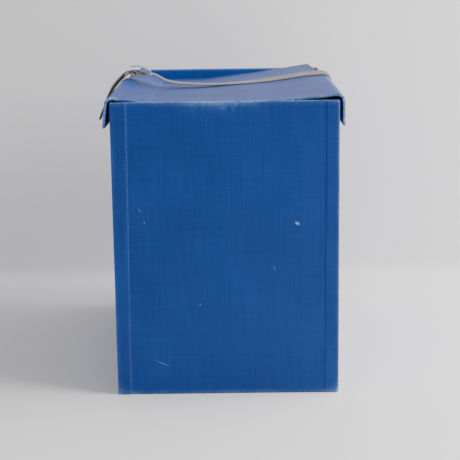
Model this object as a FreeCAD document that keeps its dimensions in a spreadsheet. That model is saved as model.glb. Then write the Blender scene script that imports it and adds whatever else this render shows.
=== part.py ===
import FreeCAD, Part
import math
import os

# Strapped document box, built of thick paper board and covered in book cloth.
# Millimetres. +Z is up, the front faces -Y and +X is to the right of someone who
# faces the front. The origin is the centre of the footprint, on the surface that
# the box stands on.

Vec = FreeCAD.Vector
doc = FreeCAD.newDocument("document_box")
sheet = doc.addObject("Spreadsheet::Sheet", "Sizes")

# ---------------------------------------------------------------- driving sizes

SIZES = [
    # the box
    ("box_width", 250.0),            # outside, over the side cloths
    ("box_depth", 380.0),            # outside, over the corner wraps
    ("box_height", 332.0),           # from the surface to the rim
    ("board_thick", 2.4),
    ("cloth_thick", 0.5),
    ("paper_thick", 0.3),
    ("corner_wrap", 16.5),           # how far a side cloth reaches onto the front and back
    ("rim_turn_in", 16.0),           # how far the cloth runs down inside the rim
    ("corner_tape_width", 14.0),
    # the lid
    ("lid_front_gap", 1.6),          # from the cloth inside the front rim to the lid
    ("lid_rear_gap", 5.1),           # from the cloth inside the back rim to the lid
    ("lid_overhang", 1.0),           # the cloth at the lid's edge, beyond the box's side
    ("lid_rear_inset_left", 10.0),   # the lid's rear corners lie inside its front width
    ("lid_rear_inset_right", 13.0),
    ("lid_middle_inset", 4.0),       # and at the middle line, on both sides
    ("valley_from_left", 43.0),      # crease, measured from the left outer face
    ("dip_from_left", 95.0),
    ("shoulder_from_right", 65.0),
    ("ridge_from_right", 30.0),
    ("middle_from_front", 198.0),    # where the middle line of the lid's surface lies
    # the lips
    ("lip_gap_front", 3.2),          # from the side cloth to the lip board, at its front end
    ("lip_gap_strap", 1.4),          # and from the strap to its rear end
    ("lip_board_thick", 2.0),
    ("lip_bevel_drop", 2.0),         # the lip slopes out from the lid's edge to its own plane
    ("lip_drop", 28.5),              # below the rim
    ("lip_behind_strap", 3.0),       # the lips end this far behind the strap
    ("lip_front_setback", 2.0),
    ("lip_straight_margin", 2.0),    # the lips stop flaring this far in front of the strap
    ("lip_flare_left", 3.4),         # how far the left lip's front corner stands out
    ("lip_flare_right", 0.6),
    # the cloth hinge
    ("hinge_axis_lift", 0.3),        # above the rim
    ("hinge_leaf_drop", 46.0),
    ("hinge_leaf_side_gap", 1.0),    # from the wall leaf to the corner tapes
    ("hinge_rim_clearance", 0.5),
    # the strap
    ("strap_width", 18.0),
    ("strap_thick", 1.8),
    ("strap_from_front", 203.0),     # the strap's centre line
    ("strap_fold_gap", 0.2),         # between webbing and the bar, and between two layers
    ("strap_end_margin", 7.0),       # webbing beyond a rivet's centre
    ("strap_edge_radius", 3.0),
    ("strap_contact_lift", 0.3),     # between the webbing and what it lies on
    ("strap_lip_bend", 3.0),         # below the lid's edge, where the strap leaves the lip
    ("strap_shoulder_reach", 0.6),   # beyond the lip's upper edge, where the strap turns onto the lid
    ("strap_lie_lift", 0.5),         # over the lid, where the strap lies on it
    ("strap_dip_lift", 3.0),         # over the lid's dip
    ("strap_rise_start", 17.0),      # from the buckle, where the strap starts to rise to it
    ("strap_rise_lift", 7.6),        # over the lid, there
    ("strap_rise_radius", 20.0),
    ("strap_long_radius", 80.0),
    ("tail_over_reach", 4.5),        # past the bar, where the tail turns down
    ("tail_fall_reach", 14.5),       # beyond the left side, where it passes the lid's edge
    ("tail_fall_drop", 4.0),         # below the rim, there
    ("tail_bend_reach", 21.0),
    ("tail_bend_drop", 19.0),
    ("tail_reach", 31.0),            # the tail's end, beyond the left side
    ("tail_drop", 44.0),             # and below the rim
    ("loop_flat", 1.3),              # the buckle strap lies flat above its rivet's head
    ("loop_reach", 9.0),             # how far it bows out from the lip
    ("loop_drop", 11.0),             # below the rim, at its widest
    ("loop_shoulder_reach", 1.3),    # from the lip's shoulder to the buckle strap's middle
    ("loop_shoulder_rise", 0.7),
    # the buckle
    ("bar_from_left", 11.0),         # the bar's centre, inward from the left side
    ("bar_above_rim", 10.8),
    ("bar_radius", 1.25),
    ("frame_length", 27.0),
    ("frame_bar_margin", 2.5),       # from the frame's left end to the bar's centre
    ("frame_floor_thick", 1.0),
    ("frame_wall_thick", 1.0),
    ("frame_side_clearance", 0.4),
    ("frame_rail_height", 2.0),
    ("frame_ear_margin", 1.3),       # metal round the bar
    ("frame_pin_margin", 1.6),       # metal round the pin
    ("frame_web_length", 8.0),       # the ear's foot, along the rail
    ("pin_radius", 1.0),
    ("pin_from_end", 5.0),
    ("pin_bore_clearance", 0.05),
    ("hub_clearance", 0.35),         # between the cam and the webbing
    ("pin_above_floor", 5.0),
    ("lever_thick", 1.0),
    ("lever_side_clearance", 0.3),
    ("lever_overhang", 2.5),         # past the bar
    ("lever_crown_rise", 6.6),       # the arm's highest part, above the pin
    ("lever_crown_length", 9.0),
    ("lever_tip_drop", 0.9),         # below the crown
    ("lever_bend_radius", 8.0),
    ("rivet_hole_reach", 1.0),       # a hole's tool goes this far past each face
    # the rivets
    ("rivet_above_lip_end", 7.5),
    ("rivet_shank_radius", 1.5),
    ("rivet_head_radius", 3.8),
    ("rivet_head_height", 1.0),
    ("washer_radius", 3.6),
    ("washer_thick", 0.6),
]

# The height of the lid's underside above the rim, along three lines across it, at
# six places from the left edge to the right edge. It sags below the rim.
LID_PLACES = ("left_edge", "valley", "dip", "shoulder", "ridge", "right_edge")
LID_LINES = {
    "front": (1.0, -3.8, -4.2, -2.6, 0.2, 3.3),
    "middle": (2.6, -9.2, -9.4, -2.2, 2.8, 4.4),
    "rear": (1.2, -16.2, -15.6, -5.2, 0.4, 2.8),
}
for line_name, heights in LID_LINES.items():
    for place, height in zip(LID_PLACES, heights):
        SIZES.append(("rise_%s_%s" % (line_name, place), height))

for row, (alias, value) in enumerate(SIZES, 1):
    sheet.set("A%d" % row, alias.replace("_", " "))
    sheet.set("B%d" % row, repr(value))
    sheet.setAlias("B%d" % row, alias)
doc.recompute()


def size(alias):
    """The value of one cell of the sheet, in millimetres or degrees."""
    return float(getattr(sheet, alias))


subparts = []


def subpart(obj, name):
    """Gives a sub-part its name and puts it on the list of what is exported."""
    obj.Label = name
    subparts.append(obj)
    return obj


def bind(obj, **expressions):
    """Binds properties of an object to expressions of the sheet's sizes."""
    for key, text in expressions.items():
        obj.setExpression(key.replace("__", "."), text)


def cell(text):
    """Writes the sizes in a text as references to the sheet: {box_width} and so on."""
    return text.replace("{", "Sizes.").replace("}", "")


def box(name, x0, y0, z0, length, width, height):
    """A Part::Box whose corner and sides are expressions of the sizes."""
    obj = doc.addObject("Part::Box", name)
    bind(obj, Length=cell(length), Width=cell(width), Height=cell(height))
    bind(obj, Placement__Base__x=cell(x0), Placement__Base__y=cell(y0), Placement__Base__z=cell(z0))
    return obj


def solid_feature(name, shape):
    """A Part::Feature that holds a shape made with Part's own functions."""
    obj = doc.addObject("Part::Feature", name)
    obj.Shape = shape
    return obj


# ------------------------------------------------------- boards of the box itself

# The front and back boards run the whole width between the side cloths, and the
# side boards and the base stand between them.
HALF_IN_X = "{box_width} / 2 - {cloth_thick} - {board_thick}"
HALF_IN_Y = "{box_depth} / 2 - 2 * {cloth_thick} - {board_thick}"
BOARD_HALF_X = "{box_width} / 2 - {cloth_thick}"
BOARD_FACE_Y = "{box_depth} / 2 - 2 * {cloth_thick}"
BOARD_HEIGHT = "{box_height} - 2 * {cloth_thick}"

subpart(box("base_board",
            "-(%s)" % HALF_IN_X, "-(%s)" % HALF_IN_Y, "{cloth_thick}",
            "2 * (%s)" % HALF_IN_X, "2 * (%s)" % HALF_IN_Y, "{board_thick}"), "base_board")
for side, low_y in (("front", "-(%s)" % BOARD_FACE_Y), ("back", HALF_IN_Y)):
    subpart(box(side + "_board", "-(%s)" % BOARD_HALF_X, low_y, "{cloth_thick}",
                "2 * (%s)" % BOARD_HALF_X, "{board_thick}", BOARD_HEIGHT), side + "_board")
for side, low_x in (("left", "-(%s)" % BOARD_HALF_X), ("right", HALF_IN_X)):
    subpart(box(side + "_board", low_x, "-(%s)" % HALF_IN_Y, "{cloth_thick}",
                "{board_thick}", "2 * (%s)" % HALF_IN_Y, BOARD_HEIGHT), side + "_board")

# ------------------------------------------------------------- cloth on the walls

subpart(box("base_cover", "-(%s)" % BOARD_HALF_X, "-(%s)" % BOARD_FACE_Y, "0",
            "2 * (%s)" % BOARD_HALF_X, "2 * (%s)" % BOARD_FACE_Y, "{cloth_thick}"), "base_cover")


def fused(name, pieces):
    """One solid out of boxes that share faces."""
    obj = doc.addObject("Part::MultiFuse", name)
    obj.Shapes = pieces
    obj.Refine = True
    return subpart(obj, name)


def wall_cover(side, outer_y, board_y, inner_y):
    """Front or back cloth: up the outer face, over the rim and down inside."""
    name = side + "_cover"
    outer = box(name + "_outer", "-(%s)" % BOARD_HALF_X, outer_y, "0",
                "2 * (%s)" % BOARD_HALF_X, "{cloth_thick}", "{box_height}")
    rim = box(name + "_rim", "-(%s)" % BOARD_HALF_X, board_y, "{box_height} - {cloth_thick}",
              "2 * (%s)" % BOARD_HALF_X, "{board_thick}", "{cloth_thick}")
    inner = box(name + "_inner", "-(%s) + {cloth_thick}" % HALF_IN_X, inner_y,
                "{box_height} - {rim_turn_in}",
                "2 * (%s) - 2 * {cloth_thick}" % HALF_IN_X, "{cloth_thick}", "{rim_turn_in}")
    return fused(name, [outer, rim, inner])


wall_cover("front", "-(%s) - {cloth_thick}" % BOARD_FACE_Y, "-(%s)" % BOARD_FACE_Y, "-(%s)" % HALF_IN_Y)
wall_cover("back", BOARD_FACE_Y, HALF_IN_Y, "%s - {cloth_thick}" % HALF_IN_Y)


def side_cover(side, outer_x, board_x, inner_x, strip_x):
    """Side cloth: it wraps onto the front and back, and turns in over the rim."""
    name = side + "_cover"
    outer = box(name + "_outer", outer_x, "-{box_depth} / 2", "0",
                "{cloth_thick}", "{box_depth}", "{box_height}")
    wraps = [box(name + "_" + end + "_wrap", strip_x, low_y, "0",
                 "{corner_wrap}", "{cloth_thick}", "{box_height}")
             for end, low_y in (("front", "-{box_depth} / 2"), ("back", "{box_depth} / 2 - {cloth_thick}"))]
    rim = box(name + "_rim", board_x, "-(%s)" % HALF_IN_Y, "{box_height} - {cloth_thick}",
              "{board_thick}", "2 * (%s)" % HALF_IN_Y, "{cloth_thick}")
    inner = box(name + "_inner", inner_x, "-(%s)" % HALF_IN_Y, "{box_height} - {rim_turn_in}",
                "{cloth_thick}", "2 * (%s)" % HALF_IN_Y, "{rim_turn_in}")
    return fused(name, [outer, rim, inner] + wraps)


side_cover("left", "-{box_width} / 2", "-(%s)" % BOARD_HALF_X, "-(%s)" % HALF_IN_X,
           "-{box_width} / 2")
side_cover("right", BOARD_HALF_X, HALF_IN_X, "%s - {cloth_thick}" % HALF_IN_X,
           "{box_width} / 2 - {corner_wrap}")

# ---------------------------------------------------------- lining papers, inside

FLOOR = "{cloth_thick} + {board_thick}"
LINING_FOOT = FLOOR + " + {paper_thick}"
LINING_HEIGHT = "{box_height} - {rim_turn_in} - (%s)" % LINING_FOOT

subpart(box("base_lining", "-(%s)" % HALF_IN_X, "-(%s)" % HALF_IN_Y, FLOOR,
            "2 * (%s)" % HALF_IN_X, "2 * (%s)" % HALF_IN_Y, "{paper_thick}"), "base_lining")
for side, low_y in (("front", "-(%s)" % HALF_IN_Y), ("back", "%s - {paper_thick}" % HALF_IN_Y)):
    subpart(box(side + "_lining", "-(%s)" % HALF_IN_X, low_y, LINING_FOOT,
                "2 * (%s)" % HALF_IN_X, "{paper_thick}", LINING_HEIGHT), side + "_lining")
for side, low_x in (("left", "-(%s)" % HALF_IN_X), ("right", "%s - {paper_thick}" % HALF_IN_X)):
    subpart(box(side + "_lining", low_x, "-(%s) + {paper_thick}" % HALF_IN_Y, LINING_FOOT,
                "{paper_thick}", "2 * (%s) - 2 * {paper_thick}" % HALF_IN_Y, LINING_HEIGHT),
            side + "_lining")


def corner_tape(name, to_right, to_back):
    """One L of paper tape over the lining, up an inside corner."""
    lining_x = "(%s - {paper_thick})" % HALF_IN_X
    lining_y = "(%s - {paper_thick})" % HALF_IN_Y
    along_x = box(name + "_along_x",
                  lining_x + " - {corner_tape_width}" if to_right else "-" + lining_x,
                  lining_y + " - {paper_thick}" if to_back else "-" + lining_y,
                  LINING_FOOT, "{corner_tape_width}", "{paper_thick}", LINING_HEIGHT)
    along_y = box(name + "_along_y",
                  lining_x + " - {paper_thick}" if to_right else "-" + lining_x,
                  lining_y + " - {corner_tape_width}" if to_back else "-" + lining_y,
                  LINING_FOOT, "{paper_thick}", "{corner_tape_width}", LINING_HEIGHT)
    tape = doc.addObject("Part::MultiFuse", name)
    tape.Shapes = [along_x, along_y]
    tape.Refine = True
    return tape


tapes = [corner_tape("corner_tape_%d" % (1 + to_right + 2 * to_back), to_right, to_back)
         for to_back in (0, 1) for to_right in (0, 1)]
corner_tapes = doc.addObject("Part::Compound", "corner_tapes")
corner_tapes.Links = tapes
subpart(corner_tapes, "corner_tapes")

# --------------------------------------------------------- the lid's sagging plane

W, D, H = size("box_width"), size("box_depth"), size("box_height")
cloth, board, paper = size("cloth_thick"), size("board_thick"), size("paper_thick")

lip_layers = size("lip_board_thick") + cloth
lip_inner = W / 2 + size("lip_gap_strap")
lip_face = lip_inner + lip_layers
lip_splay = size("lip_gap_front") - size("lip_gap_strap")
lid_edge = W / 2 + size("lid_overhang") - lip_layers
inside_rim_y = D / 2 - 3 * cloth - board
lid_front = -inside_rim_y + size("lid_front_gap")
lid_rear = inside_rim_y - size("lid_rear_gap")
lid_middle = -D / 2 + size("middle_from_front")
strap_y = -D / 2 + size("strap_from_front")
lip_front = -D / 2 + size("lip_front_setback")
lip_straight = strap_y - size("strap_width") / 2 - size("lip_straight_margin")
lip_rear = strap_y + size("strap_width") / 2 + size("lip_behind_strap")

place_x = (-lid_edge,
           -W / 2 + size("valley_from_left"),
           -W / 2 + size("dip_from_left"),
           W / 2 - size("shoulder_from_right"),
           W / 2 - size("ridge_from_right"),
           lid_edge)


lid_stack = cloth + board + paper


def top_line(line_name):
    """The heights of the lid's top face along one line across it."""
    return [H + size("rise_%s_%s" % (line_name, place)) + lid_stack for place in LID_PLACES]


def lid_row(line_name, y, inset_left=0.0, inset_right=0.0):
    """The points of the lid's top face along one line across it."""
    xs = list(place_x)
    xs[0] += inset_left
    xs[-1] -= inset_right
    return [Vec(x, y, z) for x, z in zip(xs, top_line(line_name))]


lid_grid = [lid_row("front", lid_front),
            lid_row("middle", lid_middle, size("lid_middle_inset"), size("lid_middle_inset")),
            lid_row("rear", lid_rear, size("lid_rear_inset_left"), size("lid_rear_inset_right"))]


def height_along(row, x):
    """The height of a polyline of points at x."""
    for a, b in zip(row, row[1:]):
        if a.x <= x <= b.x:
            return a.z + (b.z - a.z) * (x - a.x) / (b.x - a.x)
    return row[0].z if x < row[0].x else row[-1].z


def edge_point(y, side):
    """The lid's left (0) or right (-1) edge at y: its distance from the middle plane, and its height."""
    level = height_along([Vec(row[side].y, 0, row[side].z) for row in lid_grid], y)
    reach = height_along([Vec(row[side].y, 0, abs(row[side].x)) for row in lid_grid], y)
    return reach, level


def polygon(points):
    return Part.Face(Part.makePolygon(list(points) + [points[0]]))


def sheet_solid(grid, offset):
    """A solid between a grid of points and the same grid moved by offset.

    Each cell of the grid is two flat triangles, so sheets laid on each other
    share their faces exactly.
    """
    faces = []
    moved = [[p + offset for p in row] for row in grid]
    for layer in (grid, moved):
        for low, high in zip(layer, layer[1:]):
            for i in range(len(low) - 1):
                faces.append(polygon([low[i], low[i + 1], high[i]]))
                faces.append(polygon([low[i + 1], high[i + 1], high[i]]))
    rims = [grid[0], grid[-1], [row[0] for row in grid], [row[-1] for row in grid]]
    for rim in rims:
        for a, b in zip(rim, rim[1:]):
            faces.append(polygon([a, b, b + offset, a + offset]))
    solid = Part.Solid(Part.Shell(faces))
    if solid.Volume < 0:
        solid.reverse()
    return solid


def lowered(grid, depth):
    return [[p + Vec(0, 0, -depth) for p in row] for row in grid]


subpart(solid_feature("lid_cover", sheet_solid(lid_grid, Vec(0, 0, -cloth))), "lid_cover")
subpart(solid_feature("lid_board", sheet_solid(lowered(lid_grid, cloth), Vec(0, 0, -board))), "lid_board")
subpart(solid_feature("lid_lining", sheet_solid(lowered(lid_grid, cloth + board), Vec(0, 0, -paper))),
        "lid_lining")

# --------------------------------------------------------------------- side lips

lip_end = H - size("lip_drop")
rivet_z = lip_end + size("rivet_above_lip_end")


def rivet_hole(x_near, x_far):
    """The tool of a rivet's hole, from one plane across X to another and past both."""
    low = min(x_near, x_far) - size("rivet_hole_reach")
    high = max(x_near, x_far) + size("rivet_hole_reach")
    return Part.makeCylinder(size("rivet_shank_radius"), high - low,
                             Vec(low, strap_y, rivet_z), Vec(1, 0, 0))


def lip_grid(sign, inward, flare):
    """The face of one layer of a lip, inward from its outer face: down the lid's
    edge, out along the bevel to the lip's own plane, and down to its foot."""
    rows = []
    for y in sorted({lip_front, lid_front, lip_straight, lid_middle, lip_rear}):
        ahead = max(0.0, (lip_straight - y) / (lip_straight - lip_front))
        reach, top = edge_point(max(y, lid_front), 0 if sign < 0 else -1)
        upper_x = reach + lip_layers - inward
        face_x = lip_face + lip_splay * ahead - inward
        rows.append([Vec(sign * upper_x, y, top),
                     Vec(sign * upper_x, y, top - lid_stack),
                     Vec(sign * face_x, y, top - lid_stack - size("lip_bevel_drop")),
                     Vec(sign * (face_x + flare * ahead), y, lip_end)])
    return rows


for side, sign in (("left", -1), ("right", 1)):
    flare = size("lip_flare_" + side)
    cover_solid = sheet_solid(lip_grid(sign, 0.0, flare), Vec(-sign * cloth, 0, 0))
    board_solid = sheet_solid(lip_grid(sign, cloth, flare), Vec(-sign * size("lip_board_thick"), 0, 0))
    hole = rivet_hole(sign * lip_inner, sign * lip_face)
    subpart(solid_feature(side + "_lip_board", board_solid.cut(hole)), side + "_lip_board")
    subpart(solid_feature(side + "_lip_cover", cover_solid.cut(hole)), side + "_lip_cover")

# ------------------------------------------------------------------- cloth hinge

LEAF_HALF = HALF_IN_X + " - {paper_thick} - {corner_tape_width} - {hinge_leaf_side_gap}"
subpart(box("hinge_wall_leaf", "-(%s)" % LEAF_HALF, "%s - 2 * {cloth_thick}" % HALF_IN_Y,
            "{box_height} - {hinge_leaf_drop}", "2 * (%s)" % LEAF_HALF, "{cloth_thick}",
            "{hinge_leaf_drop}"), "hinge_wall_leaf")


def hinge_lid_leaf():
    """The cloth that hangs from the rim to the lid's rear edge, where the edge lies below the rim."""
    top = H - size("hinge_rim_clearance")
    rear = lid_grid[-1]
    crossings = []
    for a, b in zip(rear, rear[1:]):
        if (a.z - top) * (b.z - top) < 0:
            crossings.append(a.x + (b.x - a.x) * (top - a.z) / (b.z - a.z))
    low_x, high_x = crossings[0], crossings[-1]
    xs = [low_x] + [p.x for p in rear if low_x < p.x < high_x] + [high_x]
    rows = [[Vec(x, lid_rear, height_along(rear, x) - cloth - board) for x in xs],
            [Vec(x, lid_rear, top) for x in xs]]
    return sheet_solid(rows, Vec(0, cloth, 0))


subpart(solid_feature("hinge_lid_leaf", hinge_lid_leaf()), "hinge_lid_leaf")

# --------------------------------------------------------------------- the strap

strap_t, strap_w = size("strap_thick"), size("strap_width")
half_t = strap_t / 2
FOLD_SHARE = 0.85                    # the fold's corners round off this share of its radius
CHORD_TURN = 15                      # degrees of a rounded corner to each of its chords
FEWEST_CHORDS = 2
SHARPEST_MITER = 0.5                 # cosine of the turn beyond which a mitre grows no longer


def rounded_path(corners):
    """Points of a path whose corners (x, z, radius) are rounded by short chords."""
    points = []
    for i, (x, z, radius) in enumerate(corners):
        here = Vec(x, 0, z)
        if radius == 0 or i in (0, len(corners) - 1):
            points.append(here)
            continue
        to_last = (Vec(corners[i - 1][0], 0, corners[i - 1][1]) - here).normalize()
        to_next = (Vec(corners[i + 1][0], 0, corners[i + 1][1]) - here).normalize()
        turn = math.pi - to_last.getAngle(to_next)
        setback = radius * math.tan(turn / 2)
        start, end = here + to_last * setback, here + to_next * setback
        centre = here + (to_last + to_next).normalize() * (radius / math.cos(turn / 2))
        steps = max(FEWEST_CHORDS, int(math.degrees(turn) / CHORD_TURN))
        for k in range(steps + 1):
            share = k / steps
            from_start = (start - centre) * (math.sin((1 - share) * turn) / math.sin(turn))
            from_end = (end - centre) * (math.sin(share * turn) / math.sin(turn))
            points.append(centre + from_start + from_end)
    return points


def ribbon(points, thickness, width, y_middle):
    """A flat strip of webbing that follows a path in the XZ plane."""
    left, right = [], []
    for i, p in enumerate(points):
        before = (p - points[i - 1]).normalize() if i else None
        after = (points[i + 1] - p).normalize() if i < len(points) - 1 else None
        along = before + after if before and after else (before or after)
        along.normalize()
        miter = 1.0 if not (before and after) else 1.0 / max(SHARPEST_MITER, along.dot(after))
        normal = Vec(-along.z, 0, along.x) * (thickness / 2 * miter)
        left.append(p + normal)
        right.append(p - normal)
    face = polygon([q + Vec(0, y_middle - width / 2, 0) for q in left + right[::-1]])
    return face.extrude(Vec(0, width, 0))


strap_on_lip = lip_face + half_t
lid_at_strap = [a + (b - a) * ((strap_y - lid_middle) / (lid_rear - lid_middle))
                for a, b in zip(lid_grid[1], lid_grid[2])]
rest_lift = size("strap_contact_lift") + half_t


def over_lid(x, lift=0.0):
    """The height of the strap's middle where it lies on the lid, or lift above that."""
    return height_along(lid_at_strap, x) + rest_lift + lift


# Buckle levels, from the bar upwards: the folded buckle strap, then the long strap.
bar_x = -W / 2 + size("bar_from_left")
bar_z = H + size("bar_above_rim")
fold_radius = size("bar_radius") + size("strap_fold_gap") + half_t
fold_top, fold_foot = bar_z + fold_radius, bar_z - fold_radius
tail_level = fold_top + strap_t + size("strap_fold_gap")
frame_left = bar_x - size("frame_bar_margin")
frame_right = frame_left + size("frame_length")
floor_left = bar_x + fold_radius + half_t + size("strap_fold_gap")
floor_top = bar_z - size("bar_radius")
strap_on_floor = floor_top + rest_lift
pin_x = frame_right - size("pin_from_end")
pin_z = floor_top + size("pin_above_floor")

edge_r = size("strap_edge_radius")
right_reach, right_level = edge_point(strap_y, -1)
rise_x = frame_right + size("strap_rise_start")
lie_lift, long_r = size("strap_lie_lift"), size("strap_long_radius")
near_x = (place_x[2] + place_x[3]) / 2
left_x = -W / 2
long_route = [
    (strap_on_lip, rivet_z - size("strap_end_margin"), 0),
    (strap_on_lip, right_level - size("strap_lip_bend"), edge_r),
    (right_reach + lip_layers + size("strap_shoulder_reach"), right_level + rest_lift, edge_r),
    (place_x[4], over_lid(place_x[4], lie_lift), long_r),
    (place_x[3], over_lid(place_x[3], lie_lift), long_r),
    (near_x, over_lid(near_x, lie_lift), long_r),
    (place_x[2], over_lid(place_x[2], size("strap_dip_lift")), long_r),
    (rise_x, over_lid(rise_x, size("strap_rise_lift")), size("strap_rise_radius")),
    (frame_right + strap_t, strap_on_floor, edge_r),
    (pin_x, strap_on_floor, edge_r),
    (bar_x + strap_t, tail_level, edge_r),
    (bar_x - size("tail_over_reach"), tail_level, edge_r),
    (left_x - size("tail_fall_reach"), H - size("tail_fall_drop"), size("strap_rise_radius")),
    (left_x - size("tail_bend_reach"), H - size("tail_bend_drop"), size("strap_rise_radius")),
    (left_x - size("tail_reach"), H - size("tail_drop"), 0),
]
long_strap = ribbon(rounded_path(long_route), strap_t, strap_w, strap_y)
long_strap = long_strap.cut(rivet_hole(lip_face, lip_face + strap_t))
subpart(solid_feature("long_strap", long_strap), "long_strap")

loop_x = strap_on_lip + size("loop_reach")
left_shoulder = edge_point(strap_y, 0)[1] - lid_stack - size("lip_bevel_drop")
fold_r = FOLD_SHARE * fold_radius
buckle_route = [
    (-strap_on_lip, rivet_z - size("strap_end_margin"), 0),
    (-strap_on_lip, rivet_z + size("rivet_head_radius") + size("loop_flat"), strap_t),
    (-loop_x, H - size("loop_drop"), edge_r),
    (-lip_face - size("loop_shoulder_reach"), left_shoulder + size("loop_shoulder_rise"), edge_r),
    (bar_x - edge_r, fold_top, edge_r),
    (bar_x + fold_radius, fold_top, fold_r),
    (bar_x + fold_radius, fold_foot, fold_r),
    (bar_x - size("bar_radius"), fold_foot, 0),
]
buckle_strap = ribbon(rounded_path(buckle_route), strap_t, strap_w, strap_y)
buckle_strap = buckle_strap.cut(rivet_hole(-lip_face, -lip_face - strap_t))
subpart(solid_feature("buckle_strap", buckle_strap), "buckle_strap")

# -------------------------------------------------------------------- the buckle

inner_half = strap_w / 2 + size("frame_side_clearance")
wall = size("frame_wall_thick")
floor_foot = floor_top - size("frame_floor_thick")


def along_y(radius, x, z, half_length):
    """A round bar across the strap."""
    return Part.makeCylinder(radius, 2 * half_length, Vec(x, strap_y - half_length, z), Vec(0, 1, 0))


def frame_wall(low_y):
    """One side: a low rail, with an ear round the bar and a taller one round the pin."""
    rail = Part.makeBox(frame_right - frame_left, wall, size("frame_rail_height"),
                        Vec(frame_left, low_y, floor_foot))
    bar_ear = Part.makeCylinder(size("bar_radius") + size("frame_ear_margin"), wall,
                                Vec(bar_x, low_y, bar_z), Vec(0, 1, 0))
    pin_ear_r = size("pin_radius") + size("frame_pin_margin")
    pin_ear = Part.makeCylinder(pin_ear_r, wall, Vec(pin_x, low_y, pin_z), Vec(0, 1, 0))
    half_foot = size("frame_web_length") / 2
    web = polygon([Vec(pin_x - half_foot, low_y, floor_foot), Vec(pin_x + half_foot, low_y, floor_foot),
                   Vec(pin_x + pin_ear_r, low_y, pin_z),
                   Vec(pin_x - pin_ear_r, low_y, pin_z)]).extrude(Vec(0, wall, 0))
    return rail.fuse([bar_ear, web, pin_ear])


frame_floor = Part.makeBox(frame_right - floor_left, 2 * inner_half, size("frame_floor_thick"),
                           Vec(floor_left, strap_y - inner_half, floor_foot))
buckle_frame = frame_floor.fuse([frame_wall(strap_y - inner_half - wall), frame_wall(strap_y + inner_half)])
outer_half = inner_half + wall
buckle_frame = buckle_frame.cut([along_y(size("bar_radius"), bar_x, bar_z, outer_half),
                                 along_y(size("pin_radius"), pin_x, pin_z, outer_half)]).removeSplitter()
subpart(solid_feature("buckle_frame", buckle_frame), "buckle_frame")
subpart(solid_feature("buckle_bar", along_y(size("bar_radius"), bar_x, bar_z, outer_half)), "buckle_bar")
subpart(solid_feature("lever_pin", along_y(size("pin_radius"), pin_x, pin_z, outer_half)), "lever_pin")

lever_half = inner_half - size("lever_side_clearance")
hub_radius = pin_z - strap_on_floor - half_t - size("hub_clearance")
crown_z = pin_z + size("lever_crown_rise")
crown_x = bar_x + size("lever_crown_length")
tip_x = bar_x - size("lever_overhang")
arm_route = [
    (pin_x, pin_z + hub_radius - size("lever_thick") / 2, 0),
    (crown_x, crown_z, size("lever_bend_radius")),
    (bar_x, crown_z, size("lever_bend_radius")),
    (tip_x, crown_z - size("lever_tip_drop"), 0),
]
lever = ribbon(rounded_path(arm_route), size("lever_thick"), 2 * lever_half, strap_y)
lever = lever.fuse(along_y(hub_radius, pin_x, pin_z, lever_half))
pin_bore = along_y(size("pin_radius") + size("pin_bore_clearance"), pin_x, pin_z, lever_half)
lever = lever.cut(pin_bore).removeSplitter()
subpart(solid_feature("buckle_lever", lever), "buckle_lever")

# ---------------------------------------------------------------- strap rivets

LIP_INNER = "{box_width} / 2 + {lip_gap_strap}"
STRAP_FACE = LIP_INNER + " + {lip_board_thick} + {cloth_thick} + {strap_thick}"
STRAP_Y = "-{box_depth} / 2 + {strap_from_front}"
RIVET_Z = "{box_height} - {lip_drop} + {rivet_above_lip_end}"


def across(name, low_x, length, radius):
    """A Part::Cylinder along X on a rivet's axis."""
    obj = doc.addObject("Part::Cylinder", name)
    obj.Placement = FreeCAD.Placement(Vec(0, 0, 0), FreeCAD.Rotation(Vec(0, 1, 0), 90))
    bind(obj, Radius=cell(radius), Height=cell(length))
    bind(obj, Placement__Base__x=cell(low_x), Placement__Base__y=cell(STRAP_Y),
         Placement__Base__z=cell(RIVET_Z))
    return obj


def rivet(side):
    """A round-headed rivet through the strap, the lip's cloth and its board."""
    shank_length = "{washer_thick} + {lip_board_thick} + {cloth_thick} + {strap_thick}"
    low_shank = "-(%s)" % STRAP_FACE if side == "left" else "%s - {washer_thick}" % LIP_INNER
    low_head = "-(%s) - {rivet_head_height}" % STRAP_FACE if side == "left" else STRAP_FACE
    shank = across(side + "_shank", low_shank, shank_length, "{rivet_shank_radius}")
    head = across(side + "_head", low_head, "{rivet_head_height}", "{rivet_head_radius}")
    return fused(side + "_rivet", [shank, head])


def washer(side):
    low_x = "-(%s)" % LIP_INNER if side == "left" else "%s - {washer_thick}" % LIP_INNER
    ring = doc.addObject("Part::Cut", side + "_washer")
    ring.Base = across(side + "_washer_disc", low_x, "{washer_thick}", "{washer_radius}")
    ring.Tool = across(side + "_washer_bore", low_x, "{washer_thick}", "{rivet_shank_radius}")
    return subpart(ring, side + "_washer")


for side in ("left", "right"):
    rivet(side)
    washer(side)

# ------------------------------------------------------------- checks and export

doc.recompute()
for obj in doc.Objects:
    if "Invalid" in obj.State or "Error" in obj.State:
        raise RuntimeError("%s failed: %s" % (obj.Name, obj.State))
for obj in subparts:
    if obj.Shape.isNull() or not obj.Shape.isValid() or not obj.Shape.Solids:
        raise RuntimeError("%s has no valid solid" % obj.Label)

os.makedirs("parts", exist_ok=True)
for obj in subparts:
    obj.Shape.exportStep(os.path.join("parts", obj.Label + ".step"))
    print("%-18s %10.1f mm3" % (obj.Label, obj.Shape.Volume))
print("hinge axis: y %.3f z %.3f" % (inside_rim_y, H + size("hinge_axis_lift")))
print("lever axis: x %.3f y %.3f z %.3f" % (pin_x, strap_y, pin_z))
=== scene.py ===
import math

import bmesh
import bpy
import numpy as np
from mathutils import Matrix, Vector


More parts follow.
